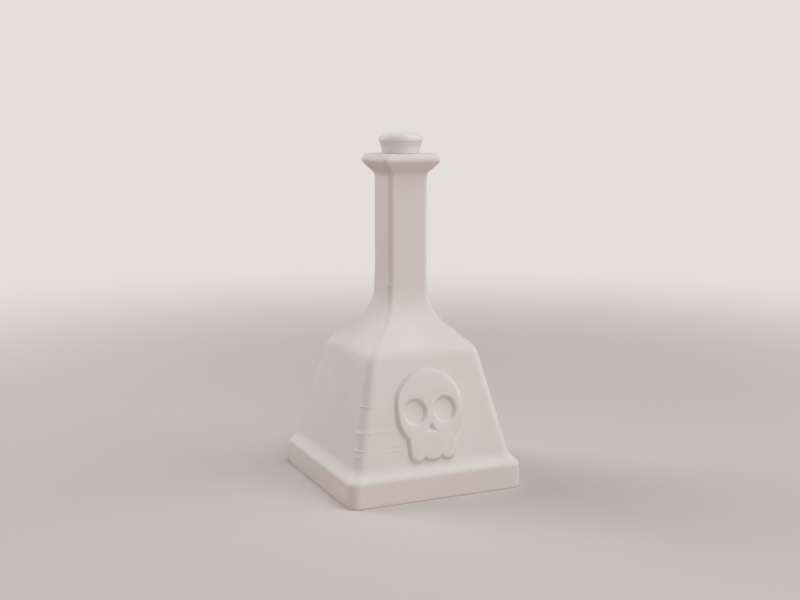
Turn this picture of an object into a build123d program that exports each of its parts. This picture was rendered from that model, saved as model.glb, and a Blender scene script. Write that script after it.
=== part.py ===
from build123d import *

import os
from math import atan2, cos, degrees, radians, sin, tan

# Bottle, outside. Millimetres, with the middle of the base at the origin and the skull facing -Y.
# Each rise is measured from the height before it, and each step from the side before it.
base_width = 80.0
plinth_height = 10.5
plinth_corner = 4.8
plinth_edge_round = 3.0
cove_rise = 3.2
cove_step = 3.45
cove_round = 8.0
body_rise = 45.7
body_corner = 5.0
shoulder_width = 51.0
shoulder_corner = 4.4
shoulder_round = 9.0
shoulder_rise = 15.0
neck_foot_round = 20.0
neck_foot_step = 0.55
neck_waist_rise = 17.0
neck_waist_round = 60.0
neck_wall = 3.0
neck_length = 41.5
neck_corner = 2.4
neck_top_round = 2.0
flare_rise = 2.4
flare_step = 2.3
flare_round = 6.0
ridge_rise = 3.1
ridge_step = 2.4
ridge_round = 2.0
bevel_rise = 2.8
bevel_step = 1.6
lip_corner = 2.4

# Bottle, inside
wall = 2.8
floor_thickness = 4.0
cavity_corner = 2.0
bore_radius = 6.0
throat_side = 0.1
mouth_chamfer = 0.8
mouth_taper = 45.0

# Skull in relief on the front face. Heights are measured up the slope from the skull's centre.
skull_height = 38.0
skull_shift = -1.1
skull_relief = 1.6
relief_root = 0.6
relief_draft = 31.0
cranium_radius = 14.3
temple_height = 3.0
jaw_width = 20.2
tooth_depth = 22.3
left_tooth_radius = 3.0
middle_tooth_radius = 5.2
middle_tooth_shift = -0.45
right_tooth_radius = 3.6
eye_spacing = 13.6
eye_drop = 2.3
eye_width = 10.6
eye_height = 11.3
nose_tip_drop = 6.9
nose_base_drop = 10.9
nose_width = 4.5

# Stopper. Its head sits on the lip and its shank goes down the bore.
shank_clearance = 0.2
shank_tip_length = 7.0
shank_tip_chamfer = 1.2
seat_overlap = 1.8
head_flare = 1.55
head_rim_rise = 5.7
head_crown_rise = 3.1
head_crown_inset = 2.05
head_crown_bulge = 0.7
head_crown_round = 0.8
head_waist_bulge = 0.25
head_rim_round = 0.5

# Seal rings, drawn as they are when squeezed in the bore, so taller than they are thick
ring_section_width = 1.5
ring_section_height = 1.7
ring_section_chamfer = 0.45
ring_clearance = 0.05
groove_clearance = 0.1
upper_ring_depth = 6.0
ring_spacing = 11.0

# Cross-sections taken along each round stretch of the profile
arc_steps = 6

# Heights and half widths of the bottle's profile
base_half = base_width / 2
foot_height = plinth_height + cove_rise
foot_half = base_half - cove_step
shoulder_height = foot_height + body_rise
shoulder_half = shoulder_width / 2
neck_foot_height = shoulder_height + shoulder_rise
neck_half = bore_radius + neck_wall
neck_foot_half = neck_half + neck_foot_step
neck_waist_height = neck_foot_height + neck_waist_rise
neck_top_height = neck_waist_height + neck_length
flare_height = neck_top_height + flare_rise
flare_half = neck_half + flare_step
ridge_height = flare_height + ridge_rise
ridge_half = flare_half + ridge_step
lip_height = ridge_height + bevel_rise
lip_half = ridge_half - bevel_step

# Slopes of the body's sides and of the shoulder, as width lost for each height gained
body_slope = (foot_half - shoulder_half) / body_rise
shoulder_slope = (shoulder_half - neck_foot_half) / shoulder_rise
body_lean = degrees(atan2(foot_half - shoulder_half, body_rise))
shoulder_lean = degrees(atan2(shoulder_half - neck_foot_half, shoulder_rise))


def corner_at(height):
    """Corner radius of the bottle's outline at a height, blended between its main levels."""
    levels = (
        (0, plinth_corner),
        (plinth_height, plinth_corner),
        (foot_height, body_corner),
        (shoulder_height, shoulder_corner),
        (neck_foot_height, neck_corner),
        (neck_top_height, neck_corner),
        (lip_height, lip_corner),
    )
    for (low, low_corner), (high, high_corner) in zip(levels, levels[1:]):
        if height <= high:
            share = (height - low) / (high - low)
            return low_corner + share * (high_corner - low_corner)
    return lip_corner


def level(height, half, corner):
    """Square with rounded corners, lying flat at a height."""
    with BuildSketch(Plane.XY.offset(height)) as outline:
        RectangleRounded(2 * half, 2 * half, corner)
    return outline.sketch


def stations(edge):
    """Cross-sections of the bottle along one edge of its profile."""
    steps = 1 if edge.geom_type == GeomType.LINE else arc_steps
    points = [edge @ (step / steps) for step in range(steps + 1)]
    points.sort(key=lambda point: point.Z)
    return [level(point.Z, point.X, corner_at(point.Z)) for point in points]


# Half of the bottle's profile, from the foot up to the top of the lip
with BuildLine(Plane.XZ) as profile:
    FilletPolyline(
        (base_half, 0),
        (base_half, plinth_height),
        (foot_half, foot_height),
        (shoulder_half, shoulder_height),
        (neck_foot_half, neck_foot_height),
        (neck_half, neck_waist_height),
        (neck_half, neck_top_height),
        (flare_half, flare_height),
        (ridge_half, ridge_height),
        (lip_half, lip_height),
        radius=[
            plinth_edge_round,
            cove_round,
            shoulder_round,
            neck_foot_round,
            neck_waist_round,
            neck_top_round,
            flare_round,
            ridge_round,
        ],
    )

# Cavity: its sides and shoulder lie one wall inside the outer ones, so its shoulder's corner lies
# inside the outer corner along both walls' outward directions
body_out = Vector(cos(radians(body_lean)), sin(radians(body_lean)))
shoulder_out = Vector(cos(radians(shoulder_lean)), sin(radians(shoulder_lean)))
corner_inset = (body_out + shoulder_out) * wall / (1 + body_out.dot(shoulder_out))
cavity_shoulder_half = shoulder_half - corner_inset.X
cavity_shoulder_height = shoulder_height - corner_inset.Y
cavity_foot_half = cavity_shoulder_half + body_slope * (cavity_shoulder_height - floor_thickness)
throat_height = cavity_shoulder_height + (cavity_shoulder_half - bore_radius) / shoulder_slope

# Plane of the bottle's front face, with its origin at the skull's centre
face_half = shoulder_half + body_slope * (shoulder_height - skull_height)
face = Plane(
    origin=(skull_shift, -face_half, skull_height),
    x_dir=(1, 0, 0),
    z_dir=(0, -cos(radians(body_lean)), sin(radians(body_lean))),
)
jaw_half = jaw_width / 2
left_tooth_height = left_tooth_radius - tooth_depth
middle_tooth_height = middle_tooth_radius - tooth_depth
right_tooth_height = right_tooth_radius - tooth_depth

# Outline of the skull, on the relief's outer surface: a cranium with straight temples, and a jaw
# whose teeth all reach down to one line
with BuildSketch(face.offset(skull_relief)) as skull_outline:
    with Locations((0, -temple_height / 2)):
        SlotCenterToCenter(temple_height, 2 * cranium_radius, rotation=90)
    Polygon(
        (-jaw_half, -temple_height),
        (-jaw_half, left_tooth_height),
        (jaw_half, right_tooth_height),
        (jaw_half, -temple_height),
        align=None,
    )
    with Locations((left_tooth_radius - jaw_half, left_tooth_height)):
        Circle(left_tooth_radius)
    with Locations((middle_tooth_shift, middle_tooth_height)):
        Circle(middle_tooth_radius)
    with Locations((jaw_half - right_tooth_radius, right_tooth_height)):
        Circle(right_tooth_radius)

# How far the relief's walls lean in, over its whole thickness
relief_slant = skull_relief * tan(radians(relief_draft))


def eye_outline(middle, lift, trim):
    """Eye socket at a lift above the face, trimmed all round."""
    with BuildSketch(face.offset(lift)) as outline:
        with Locations((middle, -eye_drop)):
            Ellipse(eye_width / 2 - trim, eye_height / 2 - trim)
    return outline.sketch


def nose_outline(lift, trim):
    """Nose hole at a lift above the face, trimmed all round."""
    with BuildSketch(face.offset(lift)) as outline:
        Polygon(
            (0, -nose_tip_drop),
            (-nose_width / 2, -nose_base_drop),
            (nose_width / 2, -nose_base_drop),
            align=None,
        )
        if trim > 0:
            offset(amount=-trim, kind=Kind.INTERSECTION, mode=Mode.REPLACE)
    return outline.sketch


# Inside of the bottle: the tapering cavity, the throat that draws it in to a circle, and the bore
with BuildPart() as hollow:
    loft(
        sections=[
            level(floor_thickness, cavity_foot_half, cavity_corner),
            level(cavity_shoulder_height, cavity_shoulder_half, cavity_corner),
        ]
    )
    loft(
        sections=[
            level(cavity_shoulder_height, cavity_shoulder_half, cavity_corner),
            level(throat_height, bore_radius, bore_radius - throat_side),
        ]
    )
    with BuildSketch(Plane.XY.offset(throat_height)):
        Circle(bore_radius)
    extrude(amount=lip_height - throat_height)
    with BuildSketch(Plane.XY.offset(lip_height)):
        Circle(bore_radius + mouth_chamfer)
    extrude(amount=-mouth_chamfer, taper=mouth_taper)

# Bottle: the lofted stretches of its outside, the skull on its front face, and the hollow
stretches = [loft(sections=stations(edge), mode=Mode.PRIVATE) for edge in profile.edges()]
with BuildPart() as bottle_body:
    add(stretches)
    extrude(to_extrude=skull_outline.sketch, amount=-skull_relief - relief_root, taper=-relief_draft)
    for middle in (-eye_spacing / 2, eye_spacing / 2):
        loft(
            sections=[eye_outline(middle, skull_relief, 0), eye_outline(middle, 0, relief_slant)],
            mode=Mode.SUBTRACT,
        )
    loft(sections=[nose_outline(skull_relief, 0), nose_outline(0, relief_slant)], mode=Mode.SUBTRACT)
    add(hollow.part, mode=Mode.SUBTRACT)
bottle_body.part.label = "bottle_body"

# Radii and heights of the stopper, worked out from the bore and the lip
shank_radius = bore_radius - shank_clearance
ring_radius = bore_radius - ring_clearance - ring_section_width / 2
groove_radius = ring_radius - ring_section_width / 2 - ring_clearance
groove_half = ring_section_height / 2 + groove_clearance
upper_ring_height = lip_height - upper_ring_depth
lower_ring_height = upper_ring_height - ring_spacing
shank_tip_height = lower_ring_height - shank_tip_length
seat_radius = bore_radius + seat_overlap
head_rim_radius = seat_radius + head_flare
head_rim_height = lip_height + head_rim_rise
head_top_height = head_rim_height + head_crown_rise
head_top_radius = head_rim_radius - head_crown_inset
seat_edge = (seat_radius, lip_height)
rim_edge = (head_rim_radius, head_rim_height)
crown_edge = (head_top_radius, head_top_height)

# Stopper: one turned profile with two grooves round its shank
with BuildPart() as stopper:
    with BuildSketch(Plane.XZ) as turned:
        with BuildLine():
            Polyline(
                (0, head_top_height),
                (0, shank_tip_height),
                (shank_radius, shank_tip_height),
                (shank_radius, lip_height),
                seat_edge,
            )
            SagittaArc(seat_edge, rim_edge, head_waist_bulge)
            SagittaArc(rim_edge, crown_edge, -head_crown_bulge)
            Line(crown_edge, (0, head_top_height))
        make_face()
        fillet(turned.vertices().sort_by(Axis.X)[-1], head_rim_round)
        fillet(turned.vertices().group_by(Axis.Y)[-1].sort_by(Axis.X)[-1], head_crown_round)
        for ring_height in (upper_ring_height, lower_ring_height):
            with Locations((shank_radius, ring_height)):
                Rectangle(2 * (shank_radius - groove_radius), 2 * groove_half, mode=Mode.SUBTRACT)
    revolve(axis=Axis.Z)
    chamfer(stopper.edges().group_by(Axis.Z)[0], shank_tip_chamfer)
stopper.part.label = "stopper"


def seal_ring(ring_height):
    """Rubber ring of square section with chamfered edges, in the groove at a height."""
    with BuildPart() as ring:
        with BuildSketch(Plane.XZ) as section:
            with Locations((ring_radius, ring_height)):
                Rectangle(ring_section_width, ring_section_height)
            chamfer(section.vertices(), ring_section_chamfer)
        revolve(axis=Axis.Z)
    return ring.part


upper_seal_ring = seal_ring(upper_ring_height)
upper_seal_ring.label = "upper_seal_ring"
lower_seal_ring = seal_ring(lower_ring_height)
lower_seal_ring.label = "lower_seal_ring"

os.makedirs("parts", exist_ok=True)
for piece in (bottle_body.part, stopper.part, upper_seal_ring, lower_seal_ring):
    export_step(piece, f"parts/{piece.label}.step")
    print(piece.label, "volume", round(piece.volume), "box", piece.bounding_box().size)
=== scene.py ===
import logging
import math
from collections.abc import Callable, Sequence
from dataclasses import dataclass, field
from enum import Enum

import bmesh
import bpy
from mathutils import Matrix, Vector


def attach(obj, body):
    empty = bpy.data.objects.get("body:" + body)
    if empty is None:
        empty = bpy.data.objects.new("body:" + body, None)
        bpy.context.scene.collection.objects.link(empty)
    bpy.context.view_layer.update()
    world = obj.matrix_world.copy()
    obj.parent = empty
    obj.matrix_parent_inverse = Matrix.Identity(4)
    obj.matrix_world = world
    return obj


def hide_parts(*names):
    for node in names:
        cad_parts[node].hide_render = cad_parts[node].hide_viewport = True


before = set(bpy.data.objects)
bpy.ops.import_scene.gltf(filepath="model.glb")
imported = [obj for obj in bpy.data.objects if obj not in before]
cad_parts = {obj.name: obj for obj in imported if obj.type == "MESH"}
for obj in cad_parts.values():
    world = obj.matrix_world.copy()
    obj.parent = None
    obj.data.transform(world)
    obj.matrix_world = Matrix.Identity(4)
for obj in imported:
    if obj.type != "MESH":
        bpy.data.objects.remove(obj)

Colour = tuple[float, float, float]
Waves = tuple[float, float, float]
BMesh = bmesh.types.BMesh
BMVert = bmesh.types.BMVert
BMEdge = bmesh.types.BMEdge
Socket = bpy.types.NodeSocket
Material = bpy.types.Material

MM = 0.001
PICTURE_WIDTH = 800
WHITE: Colour = (1.0, 1.0, 1.0)
UP = Vector((0, 0, 1))
ALONG_Y = Vector((0, 1, 0))
# Turns the diamond that a circle of four pieces is into a square.
SQUARE_ON = Matrix.Rotation(math.radians(45), 4, "Z")
# Edges that turn by more than this are shaded sharp.
SHARP_TURN = math.radians(32)
# Points that lie nearer than this become one, in millimetres.
WIRE_JOIN = 0.001
SEAM_JOIN = 0.0005
log = logging.getLogger("poison_bottle")


class Place(Enum):
    """Where on the bottle's outside a print blemish lies."""

    FRONT_FACE = "front face"
    FRONT_LEFT_EDGE = "front left edge"


class Lamp(Enum):
    """What each studio lamp is for."""

    FRONT = "front"
    FRONT_RIGHT = "front right"
    RIGHT = "right"
    BACK_LEFT = "back left"
    RAISED_LEFT = "raised left"
    HIGH_FRONT = "high front"
    TOP = "top"


class Rounding(Enum):
    """What a bevel rounds: the corners of a wire or the edges of a solid."""

    CORNERS = "VERTICES"
    EDGES = "EDGES"


class Ease(Enum):
    """How a mapped value runs between its ends."""

    STRAIGHT = "LINEAR"
    GENTLE = "SMOOTHERSTEP"


@dataclass(frozen=True)
class Grain:
    """A noise: its waves for each metre along X, Y and Z, and how many finer layers it has."""

    waves: Waves
    detail: float


@dataclass(frozen=True)
class Span:
    """How one range of values, low to high, becomes another, start to end."""

    low: float
    high: float
    start: float = 0.0
    end: float = 1.0


@dataclass(frozen=True)
class Bend:
    """A rounded corner of a profile: how far out and how high, in millimetres, and its round."""

    out: float
    height: float
    radius: float
    steps: int


class NodeSheet:
    """Adds shader nodes to a tree and links them."""

    # The Mix node's share, first and second colour, and its mixed colour.
    MIX_INPUTS = (0, 6, 7)
    MIX_OUTPUT = 2

    def __init__(self, tree: bpy.types.NodeTree) -> None:
        """Clears the tree.

        Args:
            tree: The node tree to fill.
        """
        self.tree = tree
        tree.nodes.clear()

    def add(self, kind: str, **settings: object) -> bpy.types.Node:
        """Adds a node.

        Args:
            kind: The node's type name.
            **settings: Its properties by name.

        Returns:
            The new node.
        """
        node = self.tree.nodes.new(kind)
        for name, value in settings.items():
            setattr(node, name, value)
        return node

    def feed(self, slot: Socket, value: object) -> None:
        """Gives an input what it takes.

        Args:
            slot: The input.
            value: An output to link to it, or else a colour or a number.
        """
        if isinstance(value, Socket):
            self.tree.links.new(value, slot)
        elif isinstance(value, tuple):
            slot.default_value = (*value, 1.0)
        else:
            slot.default_value = value

    def coordinates(self) -> Socket:
        """Gives the object's own coordinates, in metres."""
        return self.add("ShaderNodeTexCoord").outputs["Object"]

    def maths(self, operation: str, first: object, second: object = 0.0) -> Socket:
        """Adds a Math node.

        Args:
            operation: The sum that it does.
            first: A socket or a number.
            second: A socket or a number.

        Returns:
            The node's output.
        """
        node = self.add("ShaderNodeMath", operation=operation)
        for slot, value in zip(node.inputs, (first, second)):
            self.feed(slot, value)
        return node.outputs[0]

    def blend(self, share: Socket, first: object, second: object) -> Socket:
        """Mixes two colours.

        Args:
            share: 0 for the first colour and 1 for the second.
            first: A socket or a colour.
            second: A socket or a colour.

        Returns:
            The mixed colour's output.
        """
        node = self.add("ShaderNodeMix", data_type="RGBA")
        for index, value in zip(self.MIX_INPUTS, (share, first, second)):
            self.feed(node.inputs[index], value)
        return node.outputs[self.MIX_OUTPUT]

    def noise(self, place: Socket, grain: Grain) -> Socket:
        """Adds a noise.

        Args:
            place: The coordinates, in metres.
            grain: The noise's waves and detail.

        Returns:
            The noise's value, from 0 to 1.
        """
        mapping = self.add("ShaderNodeMapping")
        mapping.inputs["Scale"].default_value = grain.waves
        self.feed(mapping.inputs["Vector"], place)
        texture = self.add("ShaderNodeTexNoise", noise_dimensions="3D")
        texture.inputs["Scale"].default_value = 1.0
        texture.inputs["Detail"].default_value = grain.detail
        self.feed(texture.inputs["Vector"], mapping.outputs[0])
        return texture.outputs["Fac"]

    def between(self, value: Socket, span: Span, ease: Ease = Ease.STRAIGHT) -> Socket:
        """Maps a value from one range to another, held at the ends.

        Args:
            value: The value to map.
            span: Both ranges.
            ease: How it runs between the ends.

        Returns:
            The mapped value.
        """
        node = self.add("ShaderNodeMapRange", interpolation_type=ease.value)
        self.feed(node.inputs["Value"], value)
        self.feed(node.inputs["From Min"], span.low)
        self.feed(node.inputs["From Max"], span.high)
        self.feed(node.inputs["To Min"], span.start)
        self.feed(node.inputs["To Max"], span.end)
        return node.outputs[0]

    def seen_directly(self) -> Socket:
        """Tells what is seen by the camera or in a gloss from what only lights the bottle.

        Returns:
            1 where the surroundings are seen, else 0.
        """
        path = self.add("ShaderNodeLightPath").outputs
        share = self.maths("MAXIMUM", path["Is Camera Ray"], path["Is Transmission Ray"])
        return self.maths("MAXIMUM", share, path["Is Glossy Ray"])

    def mix(self, share: Socket, first: Socket, second: Socket) -> Socket:
        """Mixes two shaders.

        Args:
            share: 0 for the first shader and 1 for the second.
            first: The first shader.
            second: The second shader.

        Returns:
            The mixed shader.
        """
        node = self.add("ShaderNodeMixShader")
        for slot, value in zip(node.inputs, (share, first, second)):
            self.feed(slot, value)
        return node.outputs[0]

    def skin(self, colour: Socket, roughness: Socket, height: Socket, specular: float) -> None:
        """Makes the surface of one shader with a bump.

        Args:
            colour: The surface's colour.
            roughness: Its roughness.
            height: How high it stands, in metres.
            specular: How strongly it mirrors, the same all over.
        """
        bump = self.add("ShaderNodeBump")
        bump.inputs["Strength"].default_value = 1.0
        bump.inputs["Distance"].default_value = 1.0
        self.feed(bump.inputs["Height"], height)
        shader = self.add("ShaderNodeBsdfPrincipled")
        shader.inputs["Specular IOR Level"].default_value = specular
        self.feed(shader.inputs["Base Color"], colour)
        self.feed(shader.inputs["Roughness"], roughness)
        self.feed(shader.inputs["Normal"], bump.outputs[0])
        self.surface("ShaderNodeOutputMaterial", shader.outputs[0])

    def surface(self, kind: str, shader: Socket) -> None:
        """Ends the tree with an output node of the kind named."""
        self.feed(self.add(kind).inputs["Surface"], shader)


def new_material(name: str) -> tuple[Material, NodeSheet]:
    """Makes a material without nodes.

    Args:
        name: The material's name.

    Returns:
        The material and the sheet for its nodes.
    """
    made = bpy.data.materials.new(name)
    made.use_nodes = True
    return made, NodeSheet(made.node_tree)


@dataclass(frozen=True)
class PrintedPlastic:
    """Matte warm-white plastic laid down in thin level layers. Metres."""

    colour: Colour = (0.645, 0.622, 0.592)
    shade: Colour = (0.605, 0.580, 0.549)
    roughness: Span = Span(0.3, 0.7, 0.47, 0.59)
    specular: float = 0.42
    layer: float = 0.20 * MM
    layer_depth: float = 0.004 * MM
    # How far the level lines wander, in layers.
    layer_wander: float = 0.5
    drift: Grain = Grain((60.0, 60.0, 60.0), 1.0)
    streaks: Grain = Grain((45.0, 45.0, 1500.0), 3.0)
    streak_depth: float = 0.020 * MM
    streak_tint: Span = Span(0.3, 0.7, 0.0, 0.25)
    scars: Grain = Grain((70.0, 70.0, 900.0), 1.0)
    scar_share: Span = Span(0.66, 0.74)
    scar_depth: float = 0.035 * MM
    scar_tint: float = 0.35
    dimples: Grain = Grain((700.0, 700.0, 700.0), 2.0)
    dimple_depth: float = 0.012 * MM
    clouds: Grain = Grain((55.0, 55.0, 80.0), 4.0)
    cloud_tint: Span = Span(0.32, 0.68, 0.0, 0.55)

    def material(self, name: str) -> Material:
        """Makes the plastic.

        Args:
            name: The material's name.

        Returns:
            The finished material.
        """
        made, sheet = new_material(name)
        place = sheet.coordinates()
        axes = sheet.add("ShaderNodeSeparateXYZ")
        sheet.feed(axes.inputs[0], place)
        wander = sheet.maths("MULTIPLY", sheet.noise(place, self.drift), self.layer_wander)
        turns = sheet.maths("ADD", sheet.maths("DIVIDE", axes.outputs["Z"], self.layer), wander)
        ripple = sheet.maths("SINE", sheet.maths("MULTIPLY", turns, math.tau))
        streaks = sheet.noise(place, self.streaks)
        scars = sheet.between(sheet.noise(place, self.scars), self.scar_share)
        dimples = sheet.noise(place, self.dimples)
        height = sheet.maths("MULTIPLY", ripple, self.layer_depth)
        for value, depth in (
            (streaks, self.streak_depth),
            (scars, self.scar_depth),
            (dimples, self.dimple_depth),
        ):
            height = sheet.maths("ADD", height, sheet.maths("MULTIPLY", value, depth))
        tint = self.colour
        for share in (
            sheet.between(sheet.noise(place, self.clouds), self.cloud_tint),
            sheet.between(streaks, self.streak_tint),
            sheet.maths("MULTIPLY", scars, self.scar_tint),
        ):
            tint = sheet.blend(share, tint, self.shade)
        sheet.skin(tint, sheet.between(dimples, self.roughness), height, self.specular)
        return made


@dataclass(frozen=True)
class SealRubber:
    """Dark moulded rubber with a faint dusty bloom. Metres."""

    colour: Colour = (0.012, 0.012, 0.013)
    bloom: Colour = (0.045, 0.043, 0.041)
    roughness: Span = Span(0.3, 0.7, 0.38, 0.62)
    specular: float = 0.5
    dust: Grain = Grain((900.0, 900.0, 900.0), 4.0)
    dust_share: Span = Span(0.45, 0.75)
    grain: Grain = Grain((4000.0, 4000.0, 4000.0), 2.0)
    grain_depth: float = 0.006 * MM

    def material(self, name: str) -> Material:
        """Makes the rubber.

        Args:
            name: The material's name.

        Returns:
            The finished material.
        """
        made, sheet = new_material(name)
        place = sheet.coordinates()
        dust = sheet.noise(place, self.dust)
        height = sheet.maths("MULTIPLY", sheet.noise(place, self.grain), self.grain_depth)
        tint = sheet.blend(sheet.between(dust, self.dust_share), self.colour, self.bloom)
        sheet.skin(tint, sheet.between(dust, self.roughness), height, self.specular)
        return made


class Pen:
    """Draws a wire in a mesh, by straight stretches and arcs."""

    def __init__(self, mesh: BMesh, start: Vector, axis: Vector) -> None:
        """Puts the pen down.

        Args:
            mesh: The mesh that takes the wire.
            start: Where the wire begins.
            axis: The direction that its arcs turn about.
        """
        self.mesh = mesh
        self.axis = axis
        self.first = mesh.verts.new(start)
        self.tip = self.first

    def line(self, end: Vector, cuts: int = 0) -> None:
        """Draws a straight stretch.

        Args:
            end: Where the stretch ends.
            cuts: How many points lie between its ends.
        """
        start = self.tip.co.copy()
        for step in range(1, cuts + 2):
            self.tip = bmesh.ops.extrude_vert_indiv(self.mesh, verts=[self.tip])["verts"][0]
            self.tip.co = start.lerp(end, step / (cuts + 1))

    def arc(self, centre: Vector, angle: float, steps: int) -> None:
        """Draws an arc.

        Args:
            centre: The arc's centre.
            angle: How far it turns about the axis, in radians.
            steps: How many straight pieces it has.
        """
        made = bmesh.ops.spin(
            self.mesh, geom=[self.tip], cent=centre, axis=self.axis,
            angle=angle, steps=steps, use_merge=False,
        )
        self.tip = next(part for part in made["geom_last"] if isinstance(part, BMVert))

    def rounded(
        self, corner: Vector, after: Vector, radius: float, steps: int, longest: float
    ) -> None:
        """Draws up to a corner and round it.

        Args:
            corner: The corner, before it is rounded.
            after: The point that the wire then makes for.
            radius: The corner's radius.
            steps: How many straight pieces the round has.
            longest: The longest straight piece before the round.
        """
        inward = (corner - self.tip.co).normalized()
        onward = (after - corner).normalized()
        turn = inward.angle(onward)
        side = 1.0 if inward.cross(onward).dot(self.axis) > 0 else -1.0
        start = corner - inward * radius * math.tan(turn / 2)
        self.line(start, math.ceil((start - self.tip.co).length / longest) - 1)
        centre = start + self.axis.cross(inward) * radius * side
        self.arc(centre, turn * side, steps)

    def bends(self, bends: Sequence[Bend], end: Vector, longest: float) -> None:
        """Draws an upright profile from bend to bend.

        Args:
            bends: Its rounded corners, in order.
            end: The point that it makes for after the last.
            longest: The longest straight piece between two rounds.
        """
        corners = [Vector((bend.out, 0.0, bend.height)) for bend in bends]
        for bend, corner, after in zip(bends, corners, (*corners[1:], end)):
            self.rounded(corner, after, bend.radius, bend.steps, longest)

    def close(self) -> None:
        """Joins the tip to the point where the wire began."""
        bmesh.ops.remove_doubles(self.mesh, verts=[self.first, self.tip], dist=WIRE_JOIN)

    def trail(self) -> list[Vector]:
        """Walks along the wire.

        Returns:
            Its points, from the first to the tip.
        """
        points = [self.first.co.copy()]
        last, here = None, self.first
        while here is not self.tip:
            sides = (edge.other_vert(here) for edge in here.link_edges)
            last, here = here, next(vert for vert in sides if vert is not last)
            points.append(here.co.copy())
        return points


def soften(
    mesh: BMesh, parts: Sequence[object], rounding: Rounding, radius: float, steps: int
) -> None:
    """Rounds corners or edges.

    Args:
        mesh: The mesh that has them.
        parts: The points or the edges.
        rounding: Which of the two they are.
        radius: How far from them the round begins.
        steps: How many straight pieces the round has.
    """
    bmesh.ops.bevel(
        mesh, geom=parts, offset=radius, offset_type="OFFSET",
        segments=steps, profile=0.5, affect=rounding.value, material=-1,
    )


def turn_round(mesh: BMesh, steps: int) -> None:
    """Turns a profile about the upright axis, and closes its seam and poles.

    Args:
        mesh: The mesh that holds the profile.
        steps: How many pieces go round.
    """
    bmesh.ops.spin(
        mesh, geom=mesh.verts[:] + mesh.edges[:], cent=(0.0, 0.0, 0.0), axis=UP,
        angle=math.tau, steps=steps, use_merge=True,
    )
    bmesh.ops.remove_doubles(mesh, verts=mesh.verts, dist=SEAM_JOIN)


class RingStack:
    """Grows a closed shell, ring by ring, round the upright axis."""

    # The guide is a square whose corners are rounded half way to its middle.
    GUIDE_HALF = 2.0
    GUIDE_CORNER = 1.0

    def __init__(self, corner_steps: int, side_cuts: int) -> None:
        """Makes the first ring and remembers where each of its points sits.

        Args:
            corner_steps: How many straight pieces each corner has.
            side_cuts: How many points divide each flat side.
        """
        self.mesh = bmesh.new()
        layers = self.mesh.verts.layers.float_vector
        self.seat = layers.new("seat")
        self.out = layers.new("out")
        self.ray = layers.new("ray")
        bmesh.ops.create_circle(
            self.mesh, segments=4, radius=self.GUIDE_HALF * math.sqrt(2), matrix=SQUARE_ON
        )
        soften(self.mesh, self.mesh.verts[:], Rounding.CORNERS, self.GUIDE_CORNER, corner_steps)
        sides = [edge for edge in self.mesh.edges if edge.calc_length() > self.GUIDE_CORNER]
        bmesh.ops.subdivide_edges(self.mesh, edges=sides, cuts=side_cuts)
        flat = self.GUIDE_HALF - self.GUIDE_CORNER
        for vert in self.mesh.verts:
            across, along, _ = vert.co
            seat = Vector((min(max(across, -flat), flat), min(max(along, -flat), flat), 0.0))
            vert[self.seat] = seat
            vert[self.out] = (vert.co - seat).normalized()
            vert[self.ray] = vert.co.normalized()
        self.edges = self.mesh.edges[:]
        self.verts = self.mesh.verts[:]
        self.foot = self.edges
        self.started = False

    def grow(self) -> None:
        """Starts the next ring from the last."""
        if self.started:
            made = bmesh.ops.extrude_edge_only(self.mesh, edges=self.edges)["geom"]
            self.verts = [part for part in made if isinstance(part, BMVert)]
            fresh = set(self.verts)
            edges = (part for part in made if isinstance(part, BMEdge))
            self.edges = [edge for edge in edges if set(edge.verts) <= fresh]
        self.started = True

    def square(self, half: float, height: float, corner: float) -> list[BMVert]:
        """Adds a square ring with rounded corners.

        Args:
            half: Half of its width.
            height: How high it lies.
            corner: The radius of its corners.

        Returns:
            The ring's points.
        """
        self.grow()
        for vert in self.verts:
            vert.co = vert[self.seat] * (half - corner) + vert[self.out] * corner + UP * height
        return self.verts

    def round(self, radius: float, height: float) -> None:
        """Adds a round ring.

        Args:
            radius: The ring's radius.
            height: How high it lies.
        """
        self.grow()
        for vert in self.verts:
            vert.co = vert[self.ray] * radius + UP * height

    def close(self) -> None:
        """Fills the first and the last ring."""
        for loop in (self.foot, self.edges):
            bmesh.ops.edgeloop_fill(self.mesh, edges=loop)


def finish_piece(
    mesh: BMesh, name: str, finish: Material, body: str, node: str
) -> bpy.types.Object:
    """Turns a mesh drawn in millimetres into a piece of the bottle.

    Args:
        mesh: The drawn mesh, which is freed.
        name: The piece's name.
        finish: Its material.
        body: The body that it moves with.
        node: The part that it stands for.

    Returns:
        The piece.
    """
    bmesh.ops.recalc_face_normals(mesh, faces=mesh.faces)
    for edge in mesh.edges:
        edge.smooth = not (len(edge.link_faces) == 2 and edge.calc_face_angle(0.0) > SHARP_TURN)
    for face in mesh.faces:
        face.smooth = True
    bmesh.ops.scale(mesh, vec=(MM, MM, MM), verts=mesh.verts)
    data = bpy.data.meshes.new(name)
    mesh.to_mesh(data)
    mesh.free()
    piece = bpy.data.objects.new(name, data)
    bpy.context.scene.collection.objects.link(piece)
    data.materials.append(finish)
    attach(piece, body)
    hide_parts(node)
    return piece


@dataclass(frozen=True)
class Blemish:
    """A short ridge that the print head left. Millimetres."""

    place: Place
    height: float
    reach: float
    depth: float
    across: float = 0.0
    thickness: float = 0.30


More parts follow.
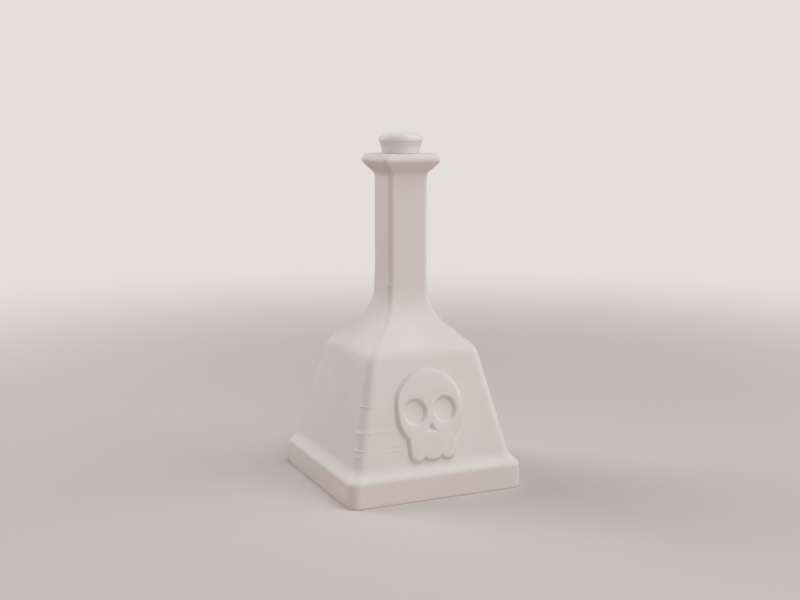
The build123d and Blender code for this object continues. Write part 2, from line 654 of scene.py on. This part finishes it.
@dataclass
class BottleShell:
    """The hollow bottle: plinth, cove, body, shoulder, neck, lip, bore and cavity. Millimetres."""

    base_half: float = 39.95
    base_round: float = 0.45
    plinth_top_half: float = 39.7
    plinth_height: float = 10.5
    plinth_round: float = 3.0
    plinth_corner: float = 4.8
    foot_half: float = 36.55
    foot_height: float = 13.7
    cove_round: float = 8.0
    body_corner: float = 5.0
    shoulder_half: float = 25.5
    shoulder_height: float = 59.4
    shoulder_corner: float = 4.4
    shoulder_round: float = 9.0
    neck_half: float = 9.0
    neck_foot_half: float = 9.55
    neck_foot_height: float = 74.4
    neck_foot_round: float = 20.0
    neck_waist_height: float = 91.4
    neck_waist_round: float = 60.0
    neck_top_height: float = 132.9
    neck_top_round: float = 3.4
    neck_corner: float = 2.4
    flare_half: float = 11.3
    flare_height: float = 135.3
    flare_round: float = 6.0
    ridge_half: float = 13.7
    ridge_height: float = 138.4
    ridge_round: float = 2.0
    lip_half: float = 12.1
    lip_height: float = 141.2
    lip_round: float = 0.35
    # How far in from the base's rim the profile begins, and how far from the mouth it ends.
    base_inset: float = 2.0
    lip_ledge: float = 1.0
    mouth_radius: float = 6.8
    bore_radius: float = 6.0
    # How far the mouth's two edges are softened: across the lip, down the mouth, into the bore.
    mouth_soft: float = 0.25
    mouth_edge: float = 0.1
    bore_edge: float = 0.125
    bore_rings: int = 8
    throat_height: float = 73.9
    cavity_shoulder_half: float = 22.97
    cavity_shoulder_height: float = 57.93
    cavity_foot_half: float = 36.0
    cavity_corner: float = 2.0
    floor: float = 4.0
    # The longest and the shortest straight piece of the profile.
    longest: float = 1.6
    shortest: float = 0.02
    corner_steps: int = 14
    side_cuts: int = 36
    # How soon a blemish rises to its full depth from its ends.
    blemish_steepness: float = 2.5
    blemishes: tuple[Blemish, ...] = (
        Blemish(Place.FRONT_LEFT_EDGE, 39.6, reach=3.4, depth=0.16),
        Blemish(Place.FRONT_LEFT_EDGE, 29.2, reach=5.0, depth=0.14),
        Blemish(Place.FRONT_LEFT_EDGE, 22.3, reach=4.2, depth=0.14),
        Blemish(Place.FRONT_LEFT_EDGE, 20.0, reach=3.4, depth=0.16),
        Blemish(Place.FRONT_LEFT_EDGE, 85.9, reach=2.6, depth=0.10),
        Blemish(Place.FRONT_LEFT_EDGE, 137.9, reach=1.8, depth=0.14, thickness=0.4),
        Blemish(Place.FRONT_FACE, 107.3, reach=1.2, depth=0.06, across=-6.4),
        Blemish(Place.FRONT_FACE, 104.4, reach=2.6, depth=0.05, across=2.4),
        Blemish(Place.FRONT_FACE, 102.4, reach=2.4, depth=0.05, across=1.2),
        Blemish(Place.FRONT_FACE, 92.7, reach=2.4, depth=0.05, across=-2.2),
        Blemish(Place.FRONT_FACE, 134.9, reach=3.0, depth=0.10, across=1.6),
        Blemish(Place.FRONT_FACE, 29.2, reach=4.5, depth=0.06, across=-24.5),
        Blemish(Place.FRONT_FACE, 21.3, reach=6.0, depth=0.06, across=-19.0),
        Blemish(Place.FRONT_FACE, 39.8, reach=3.5, depth=0.05, across=-23.5),
        Blemish(Place.FRONT_FACE, 19.7, reach=4.5, depth=0.05, across=14.5),
        Blemish(Place.FRONT_FACE, 21.6, reach=2.4, depth=0.05, across=25.8),
    )

    def corner(self, height: float) -> float:
        """Corner radius of the outside at a height.

        Args:
            height: The height.

        Returns:
            The radius, blended between the main levels.
        """
        levels = (
            (0.0, self.plinth_corner),
            (self.plinth_height, self.plinth_corner),
            (self.foot_height, self.body_corner),
            (self.shoulder_height, self.shoulder_corner),
            (self.neck_foot_height, self.neck_corner),
            (self.lip_height, self.neck_corner),
        )
        for (low, first), (high, second) in zip(levels, levels[1:]):
            if height <= high:
                return first + (second - first) * (height - low) / (high - low)
        return self.neck_corner

    def profile(self) -> list[Vector]:
        """Draws the outside's profile, from inside the base's rim to the top of the lip.

        Returns:
            Points with the half width as x and the height as z.
        """
        bends = (
            Bend(self.base_half, 0.0, self.base_round, 4),
            Bend(self.plinth_top_half, self.plinth_height, self.plinth_round, 8),
            Bend(self.foot_half, self.foot_height, self.cove_round, 10),
            Bend(self.shoulder_half, self.shoulder_height, self.shoulder_round, 10),
            Bend(self.neck_foot_half, self.neck_foot_height, self.neck_foot_round, 16),
            Bend(self.neck_half, self.neck_waist_height, self.neck_waist_round, 3),
            Bend(self.neck_half, self.neck_top_height, self.neck_top_round, 6),
            Bend(self.flare_half, self.flare_height, self.flare_round, 6),
            Bend(self.ridge_half, self.ridge_height, self.ridge_round, 7),
            Bend(self.lip_half, self.lip_height, self.lip_round, 4),
        )
        wire = bmesh.new()
        pen = Pen(wire, Vector((self.base_half - self.base_inset, 0.0, 0.0)), ALONG_Y)
        inward = Vector((self.mouth_radius + self.lip_ledge, 0.0, self.lip_height))
        pen.bends(bends, inward, self.longest)
        points = pen.trail()
        wire.free()
        return points

    def stations(self) -> list[Vector]:
        """Adds a few close points to the profile at each blemish.

        Returns:
            The profile's points, from the base upwards.
        """
        points = self.profile()
        for mark in self.blemishes:
            for height in (mark.height - mark.thickness, mark.height, mark.height + mark.thickness):
                for index, (low, high) in enumerate(zip(points, points[1:])):
                    if low.z + self.shortest < height < high.z - self.shortest:
                        share = (height - low.z) / (high.z - low.z)
                        points.insert(index + 1, low.lerp(high, share))
                        break
        return points

    def scar(
        self, ring: list[BMVert], half: float, height: float, out: bmesh.types.BMLayerItem
    ) -> None:
        """Raises a ring's points where a blemish crosses it.

        Args:
            ring: The ring's points.
            half: Half of its width.
            height: How high it lies.
            out: The layer that holds each point's outward direction.
        """
        for mark in self.blemishes:
            lift = 1.0 - abs(height - mark.height) / mark.thickness
            if lift <= 0.0:
                continue
            inset = self.corner(height) * (1 - math.sqrt(0.5))
            middle = Vector((-half + inset, -half + inset))
            if mark.place is Place.FRONT_FACE:
                middle = Vector((mark.across, -half))
            for vert in ring:
                share = 1.0 - (vert.co.xy - middle).length / mark.reach
                if share > 0.0:
                    swell = min(1.0, self.blemish_steepness * share)
                    vert.co += vert[out] * mark.depth * lift * swell

    def build(self, finish: Material) -> bpy.types.Object:
        """Grows the shell up its outside, over the lip and down its inside.

        Args:
            finish: Its material.

        Returns:
            The bottle's shell.
        """
        stack = RingStack(self.corner_steps, self.side_cuts)
        for point in self.stations():
            ring = stack.square(point.x, point.z, self.corner(point.z))
            self.scar(ring, point.x, point.z, stack.out)
        soft, lip = self.mouth_soft, self.lip_height
        mouth, bore = self.mouth_radius, self.bore_radius
        drop = mouth - bore
        top = lip - drop - soft
        stack.square(self.lip_half - 2 * soft, lip, self.neck_corner - soft)
        stack.round(mouth + 2 * soft, lip)
        stack.round(mouth + soft, lip)
        stack.round(mouth, lip - self.mouth_edge)
        stack.round(bore + self.bore_edge, lip - drop + self.bore_edge)
        stack.round(bore, top)
        for step in range(1, self.bore_rings + 1):
            stack.round(bore, top + (self.throat_height - top) * step / self.bore_rings)
        stack.square(self.cavity_shoulder_half, self.cavity_shoulder_height, self.cavity_corner)
        stack.square(self.cavity_foot_half, self.floor, self.cavity_corner)
        stack.close()
        return finish_piece(
            stack.mesh, "bottle_shell", finish, "bottle", "bottle_body"
        )


@dataclass
class SkullRelief:
    """The skull on the front wall. Millimetres, from the skull's centre, up the slope."""

    shell: BottleShell
    height: float = 38.0
    shift: float = -1.1
    relief: float = 1.6
    root: float = 0.6
    draft: float = math.radians(36)
    rim_round: float = 0.5
    rim_steps: int = 4
    cranium_radius: float = 14.3
    cranium_steps: int = 64
    temple_height: float = 3.0
    temple_cuts: int = 2
    cheek_steps: int = 18
    jaw_half: float = 10.1
    jaw_cuts: int = 5
    tooth_depth: float = 22.3
    tooth_steps: int = 16
    left_tooth_radius: float = 3.0
    middle_tooth_radius: float = 5.2
    middle_tooth_shift: float = -0.45
    right_tooth_radius: float = 3.6
    eye_spacing: float = 13.6
    eye_drop: float = 2.3
    eye_width: float = 10.6
    eye_height: float = 11.3
    eye_steps: int = 40
    nose_tip_drop: float = 6.9
    nose_base_drop: float = 10.9
    nose_width: float = 4.5

    def teeth(self, grow: float) -> list[tuple[Vector, float]]:
        """Places the round ends of the teeth, which all reach down to one line.

        Args:
            grow: How far outside the face's own edge they end.

        Returns:
            The centre and the radius of each, from left to right.
        """
        across = (
            (self.left_tooth_radius - self.jaw_half, self.left_tooth_radius),
            (self.middle_tooth_shift, self.middle_tooth_radius),
            (self.jaw_half - self.right_tooth_radius, self.right_tooth_radius),
        )
        return [
            (Vector((middle, radius - self.tooth_depth, 0.0)), radius + grow)
            for middle, radius in across
        ]

    def outline(self, mesh: BMesh, grow: float) -> None:
        """Draws the skull's edge: cranium, straight temples, cheeks, jaw and teeth.

        Args:
            mesh: The mesh that takes the wire.
            grow: How far outside the face's own edge it runs.
        """
        radius = self.cranium_radius + grow
        jaw = self.jaw_half + grow
        notch = math.acos(jaw / radius)
        low = Vector((0.0, -self.temple_height, 0.0))
        teeth = self.teeth(grow)
        pen = Pen(mesh, Vector((radius, 0.0, 0.0)), UP)
        pen.arc(Vector((0.0, 0.0, 0.0)), math.pi, self.cranium_steps)
        pen.line(low - Vector((radius, 0.0, 0.0)), self.temple_cuts)
        pen.arc(low, notch, self.cheek_steps)
        pen.line(Vector((-jaw, teeth[0][0].y, 0.0)), self.jaw_cuts)
        starts = [0.0]
        ends = []
        for (first, first_radius), (second, second_radius) in zip(teeth, teeth[1:]):
            across = second - first
            apart = across.length
            reach = (apart**2 + first_radius**2 - second_radius**2) / (2 * apart)
            side = math.sqrt(first_radius**2 - reach**2)
            along = across / apart
            cusp = first + along * reach + Vector((along.y, -along.x, 0.0)) * side
            ends.append(math.atan2(cusp.y - first.y, cusp.x - first.x))
            starts.append(math.pi + math.atan2(cusp.y - second.y, cusp.x - second.x))
        ends.append(0.0)
        for (middle, _), start, end in zip(teeth, starts, ends):
            pen.arc(middle, math.pi + end - start, self.tooth_steps)
        pen.line(Vector((jaw, low.y - radius * math.sin(notch), 0.0)), self.jaw_cuts)
        pen.arc(low, notch, self.cheek_steps)
        pen.line(Vector((radius, 0.0, 0.0)), self.temple_cuts)
        pen.close()

    def left_eye(self, mesh: BMesh, grow: float) -> None:
        """Draws the left eye socket, a little smaller for a larger grow."""
        self.eye(mesh, -self.eye_spacing / 2, grow)

    def right_eye(self, mesh: BMesh, grow: float) -> None:
        """Draws the right eye socket, a little smaller for a larger grow."""
        self.eye(mesh, self.eye_spacing / 2, grow)

    def eye(self, mesh: BMesh, across: float, grow: float) -> None:
        """Draws an eye socket.

        Args:
            mesh: The mesh that takes the wire.
            across: How far right of the middle it lies.
            grow: How far inside the face's own edge it runs.
        """
        shape = Matrix.Diagonal((self.eye_width / 2 - grow, self.eye_height / 2 - grow, 1.0, 1.0))
        place = Matrix.Translation((across, -self.eye_drop, 0.0))
        bmesh.ops.create_circle(mesh, segments=self.eye_steps, radius=1.0, matrix=place @ shape)

    def nose(self, mesh: BMesh, grow: float) -> None:
        """Draws the three-cornered nose, shrunk towards its middle.

        Args:
            mesh: The mesh that takes the wire.
            grow: How far inside the face's own edge it runs.
        """
        half, tip, base = self.nose_width / 2, self.nose_tip_drop, self.nose_base_drop
        rise = base - tip
        inner = half * rise / (half + math.hypot(half, rise))
        middle = Vector((0.0, inner - base, 0.0))
        corners = [
            middle.lerp(Vector((across, -drop, 0.0)), 1.0 - grow / inner)
            for across, drop in ((0.0, tip), (-half, base), (half, base))
        ]
        pen = Pen(mesh, corners[0], UP)
        for corner in (*corners[1:], corners[0]):
            pen.line(corner)
        pen.close()

    def loop(
        self, mesh: BMesh, draw: Callable[[BMesh, float], None], grow: float
    ) -> list[BMEdge]:
        """Draws one of the skull's loops.

        Args:
            mesh: The mesh that takes it.
            draw: The method that draws it.
            grow: How far from the face's own edge it runs.

        Returns:
            The loop's edges.
        """
        drawn = set(mesh.edges)
        draw(mesh, grow)
        return [edge for edge in mesh.edges if edge not in drawn]

    def on_wall(self) -> Matrix:
        """Finds the skull's place on the front wall, which leans back.

        Returns:
            The move from the flat drawing to the wall.
        """
        shell = self.shell
        run = shell.foot_half - shell.shoulder_half
        rise = shell.shoulder_height - shell.foot_height
        out = shell.shoulder_half + (shell.shoulder_height - self.height) * run / rise
        tilt = Matrix.Rotation(math.radians(90) - math.atan2(run, rise), 4, "X")
        return Matrix.Translation((self.shift, -out, self.height)) @ tilt

    def build(self, finish: Material) -> bpy.types.Object:
        """Raises the outline from the wall with leaning flanks and a soft rim.

        Args:
            finish: Its material.

        Returns:
            The relief.
        """
        mesh = bmesh.new()
        slant = self.relief * math.tan(self.draft)
        brink = []
        hem = []
        for draw in (self.outline, self.left_eye, self.right_eye, self.nose):
            top = self.loop(mesh, draw, 0.0)
            points = list({vert for edge in top for vert in edge.verts})
            bmesh.ops.translate(mesh, vec=UP * self.relief, verts=points)
            foot = self.loop(mesh, draw, slant)
            bmesh.ops.bridge_loops(mesh, edges=top + foot)
            brink += top
            hem += foot
        flanks = set(mesh.faces)
        bmesh.ops.triangle_fill(
            mesh, use_beauty=True, use_dissolve=False, edges=brink, normal=UP
        )
        flat = set(mesh.faces) - flanks
        made = bmesh.ops.extrude_edge_only(mesh, edges=hem)["geom"]
        points = [part for part in made if isinstance(part, BMVert)]
        bmesh.ops.translate(mesh, vec=UP * -self.root, verts=points)
        bottom = [edge for edge in mesh.edges if edge.is_boundary]
        bmesh.ops.triangle_fill(
            mesh, use_beauty=True, use_dissolve=False, edges=bottom, normal=-UP
        )
        bmesh.ops.recalc_face_normals(mesh, faces=mesh.faces)
        rim = [edge for edge in mesh.edges if len(set(edge.link_faces) & flat) == 1]
        soften(mesh, rim, Rounding.EDGES, self.rim_round, self.rim_steps)
        bmesh.ops.transform(mesh, matrix=self.on_wall(), verts=mesh.verts)
        return finish_piece(mesh, "skull_relief", finish, "bottle", "bottle_body")


@dataclass
class Stopper:
    """The mushroom-headed stopper with its grooved shank. Millimetres."""

    tip_height: float = 117.2
    tip_chamfer: float = 1.2
    tip_round: float = 0.2
    chamfer_round: float = 0.3
    shank_radius: float = 5.8
    groove_radius: float = 4.4
    groove_half: float = 0.95
    ring_heights: tuple[float, ...] = (124.2, 135.2)
    seat_radius: float = 7.8
    seat_height: float = 141.2
    seat_round: float = 0.25
    # The bend between the seat and the rim, from the seat's edge.
    flare_out: float = 0.42
    flare_rise: float = 2.6
    flare_round: float = 4.0
    rim_radius: float = 9.45
    rim_height: float = 146.9
    rim_round: float = 0.8
    brow_radius: float = 9.1
    brow_height: float = 148.4
    brow_round: float = 2.6
    crown_radius: float = 7.5
    crown_round: float = 2.3
    crown_cuts: int = 5
    top_height: float = 150.0
    edge_round: float = 0.15
    round_steps: int = 5
    longest: float = 1.5
    steps: int = 128

    def corners(self) -> list[tuple[float, float, float]]:
        """Lists the corners of half of the stopper, from the tip to the crown.

        Returns:
            The radius, the height and the round of each.
        """
        corners = [
            (self.shank_radius - self.tip_chamfer, self.tip_height, self.tip_round),
            (self.shank_radius, self.tip_height + self.tip_chamfer, self.chamfer_round),
        ]
        for middle in self.ring_heights:
            low, high = middle - self.groove_half, middle + self.groove_half
            corners += [
                (self.shank_radius, low, self.edge_round),
                (self.groove_radius, low, self.edge_round),
                (self.groove_radius, high, self.edge_round),
                (self.shank_radius, high, self.edge_round),
            ]
        return corners + [
            (self.shank_radius, self.seat_height, self.edge_round),
            (self.seat_radius, self.seat_height, self.seat_round),
            (
                self.seat_radius + self.flare_out,
                self.seat_height + self.flare_rise,
                self.flare_round,
            ),
            (self.rim_radius, self.rim_height, self.rim_round),
            (self.brow_radius, self.brow_height, self.brow_round),
            (self.crown_radius, self.top_height, self.crown_round),
        ]

    def build(self, finish: Material) -> bpy.types.Object:
        """Draws half of the stopper and turns it about the upright axis.

        Args:
            finish: Its material.

        Returns:
            The stopper.
        """
        mesh = bmesh.new()
        top = Vector((0.0, 0.0, self.top_height))
        pen = Pen(mesh, Vector((0.0, 0.0, self.tip_height)), ALONG_Y)
        bends = [Bend(*corner, self.round_steps) for corner in self.corners()]
        pen.bends(bends, top, self.longest)
        pen.line(top, self.crown_cuts)
        turn_round(mesh, self.steps)
        return finish_piece(mesh, "stopper_plug", finish, "stopper", "stopper")


@dataclass
class SealRing:
    """A rubber ring with a fine mould line round its outside. Millimetres."""

    name: str
    node: str
    height: float
    ring_radius: float = 5.2
    section_half: float = 0.74
    section_rise: float = 0.84
    edge_round: float = 0.44
    edge_steps: int = 5
    outer_cuts: int = 3
    mould_line: float = 0.008
    steps: int = 96

    def build(self, finish: Material) -> bpy.types.Object:
        """Turns the square, round-edged section about the upright axis.

        Args:
            finish: Its material.

        Returns:
            The ring.
        """
        mesh = bmesh.new()
        section = Matrix.Diagonal((self.section_half, self.section_rise, 1.0, 1.0))
        upright = Matrix.Rotation(math.radians(90), 4, "X")
        place = Matrix.Translation((self.ring_radius, 0.0, self.height)) @ upright
        bmesh.ops.create_circle(
            mesh, segments=4, radius=math.sqrt(2), matrix=place @ section @ SQUARE_ON
        )
        soften(mesh, mesh.verts[:], Rounding.CORNERS, self.edge_round, self.edge_steps)
        outer = max(mesh.edges, key=lambda edge: min(vert.co.x for vert in edge.verts))
        bmesh.ops.subdivide_edges(mesh, edges=[outer], cuts=self.outer_cuts)
        outside = Vector((2 * self.ring_radius, 0.0, self.height))
        line = min(mesh.verts, key=lambda vert: (vert.co - outside).length)
        bmesh.ops.translate(mesh, vec=(self.mould_line, 0.0, 0.0), verts=[line])
        turn_round(mesh, self.steps)
        return finish_piece(mesh, self.name, finish, "seal_rings", self.node)


def hang(
    thing: bpy.types.Object, aim: Vector, azimuth: float, elevation: float, distance: float
) -> None:
    """Puts a lamp or a camera off from a point, turned towards it.

    Args:
        thing: The lamp or the camera.
        aim: The point.
        azimuth: How far round to the right of the front, in degrees.
        elevation: How far above the level, in degrees.
        distance: How far off, in metres.
    """
    turn, rise = math.radians(azimuth), math.radians(elevation)
    level = math.cos(rise)
    back = Vector((math.sin(turn) * level, -math.cos(turn) * level, math.sin(rise)))
    thing.location = aim + back * distance
    thing.rotation_euler = (-back).to_track_quat("-Z", "Y").to_euler()
    bpy.context.scene.collection.objects.link(thing)


@dataclass(frozen=True)
class LampPlan:
    """Where a soft lamp hangs, in degrees, and how strong it is, in watts."""

    azimuth: float
    elevation: float
    power: float


@dataclass
class Studio:
    """Pale floor, plain surroundings and soft lamps. Metres."""

    floor_radius: float = 3.0
    floor_steps: int = 96
    floor_fade: Span = Span(0.16, 0.75)
    floor_colour: Colour = (0.60, 0.555, 0.525)
    # The tint of the light that the floor throws up on the bottle.
    floor_bounce: Colour = (0.58, 0.37, 0.34)
    backdrop: Colour = (0.78, 0.73, 0.70)
    ambient: float = 0.02
    aim: Vector = field(default_factory=lambda: Vector((0.0, 0.0, 0.07)))
    lamp_distance: float = 1.2
    lamp_size: float = 0.8
    lamps: dict[Lamp, LampPlan] = field(
        default_factory=lambda: {
            Lamp.FRONT: LampPlan(-15.0, 12.0, 5.9),
            Lamp.FRONT_RIGHT: LampPlan(45.0, 12.0, 1.9),
            Lamp.RIGHT: LampPlan(75.0, 12.0, 3.4),
            Lamp.BACK_LEFT: LampPlan(-135.0, 12.0, 3.8),
            Lamp.RAISED_LEFT: LampPlan(-135.0, 38.0, 5.9),
            Lamp.HIGH_FRONT: LampPlan(45.0, 64.0, 6.9),
            Lamp.TOP: LampPlan(0.0, 89.0, 1.3),
        }
    )

    def floor_material(self) -> Material:
        """Makes the floor's finish, which fades into the backdrop away from the bottle.

        Returns:
            The finished material.
        """
        made, sheet = new_material("studio_floor")
        away = sheet.add("ShaderNodeVectorMath", operation="LENGTH")
        sheet.feed(away.inputs[0], sheet.coordinates())
        fade = sheet.between(away.outputs["Value"], self.floor_fade, Ease.GENTLE)
        direct = sheet.seen_directly()
        matte = sheet.add("ShaderNodeBsdfDiffuse")
        tint = sheet.blend(direct, self.floor_bounce, self.floor_colour)
        sheet.feed(matte.inputs["Color"], tint)
        glow = sheet.add("ShaderNodeEmission")
        sheet.feed(glow.inputs["Color"], self.backdrop)
        seen = sheet.maths("MULTIPLY", fade, direct)
        mixed = sheet.mix(seen, matte.outputs[0], glow.outputs[0])
        sheet.surface("ShaderNodeOutputMaterial", mixed)
        return made

    def floor(self) -> None:
        """Lays the floor."""
        mesh = bmesh.new()
        bmesh.ops.create_circle(
            mesh, cap_ends=True, segments=self.floor_steps, radius=self.floor_radius
        )
        data = bpy.data.meshes.new("studio_floor")
        mesh.to_mesh(data)
        mesh.free()
        floor = bpy.data.objects.new("studio_floor", data)
        bpy.context.scene.collection.objects.link(floor)
        data.materials.append(self.floor_material())
        log.info("studio_floor: %.1f m across", 2 * self.floor_radius)

    def surroundings(self) -> None:
        """Sets a plain pale backdrop and an even fill light."""
        world = bpy.data.worlds.new("studio")
        world.use_nodes = True
        sheet = NodeSheet(world.node_tree)
        fill = sheet.add("ShaderNodeBackground")
        sheet.feed(fill.inputs["Color"], WHITE)
        sheet.feed(fill.inputs["Strength"], self.ambient)
        pale = sheet.add("ShaderNodeBackground")
        sheet.feed(pale.inputs["Color"], self.backdrop)
        mixed = sheet.mix(sheet.seen_directly(), fill.outputs[0], pale.outputs[0])
        sheet.surface("ShaderNodeOutputWorld", mixed)
        bpy.context.scene.world = world
        log.info("surroundings: fill %.2f", self.ambient)

    def light(self) -> None:
        """Hangs the lamps round the bottle."""
        for role, plan in self.lamps.items():
            data = bpy.data.lights.new(f"{role.value} lamp", "AREA")
            data.shape = "DISK"
            data.size = self.lamp_size
            data.energy = plan.power
            lamp = bpy.data.objects.new(data.name, data)
            hang(lamp, self.aim, plan.azimuth, plan.elevation, self.lamp_distance)
            log.info("%s: %.1f W", data.name, plan.power)

    def build(self) -> None:
        """Sets up the whole studio."""
        self.floor()
        self.surroundings()
        self.light()


@dataclass
class StudioCamera:
    """The camera at the photograph's place. Degrees, metres, millimetres of lens, and pixels."""

    azimuth: float = -24.24
    elevation: float = 9.05
    distance: float = 0.5156
    aim_height: float = 0.0774
    lens: float = 53.3
    sensor: float = 36.0
    nearest: float = 0.01
    right: float = 0.5
    down: float = 0.87

    def build(self) -> None:
        """Places the camera and makes it the scene's."""
        data = bpy.data.cameras.new("studio_camera")
        data.lens = self.lens
        data.sensor_width = self.sensor
        data.sensor_fit = "HORIZONTAL"
        data.shift_x = -self.right / PICTURE_WIDTH
        data.shift_y = self.down / PICTURE_WIDTH
        data.clip_start = self.nearest
        camera = bpy.data.objects.new("studio_camera", data)
        hang(camera, UP * self.aim_height, self.azimuth, self.elevation, self.distance)
        bpy.context.scene.camera = camera
        log.info("studio_camera: %.1f mm lens", self.lens)


def main() -> None:
    """Builds the bottle, its stopper and the studio."""
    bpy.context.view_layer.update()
    bottle_plastic = PrintedPlastic().material("bottle_plastic")
    lighter = PrintedPlastic(colour=(0.703, 0.680, 0.648), shade=(0.665, 0.640, 0.607))
    stopper_plastic = lighter.material("stopper_plastic")
    rubber = SealRubber().material("seal_rubber")
    shell = BottleShell()
    stopper = Stopper()
    lower, upper = stopper.ring_heights
    for part, finish in (
        (shell, bottle_plastic),
        (SkullRelief(shell), bottle_plastic),
        (stopper, stopper_plastic),
        (SealRing("upper_ring", "upper_seal_ring", upper), rubber),
        (SealRing("lower_ring", "lower_seal_ring", lower), rubber),
    ):
        piece = part.build(finish)
        log.info("%s: %d faces", piece.name, len(piece.data.polygons))
    Studio().build()
    StudioCamera().build()
    bpy.context.scene.view_settings.view_transform = "Standard"


if __name__ == "__main__":
    logging.basicConfig(level=logging.INFO, format="%(name)s %(message)s")
    main()
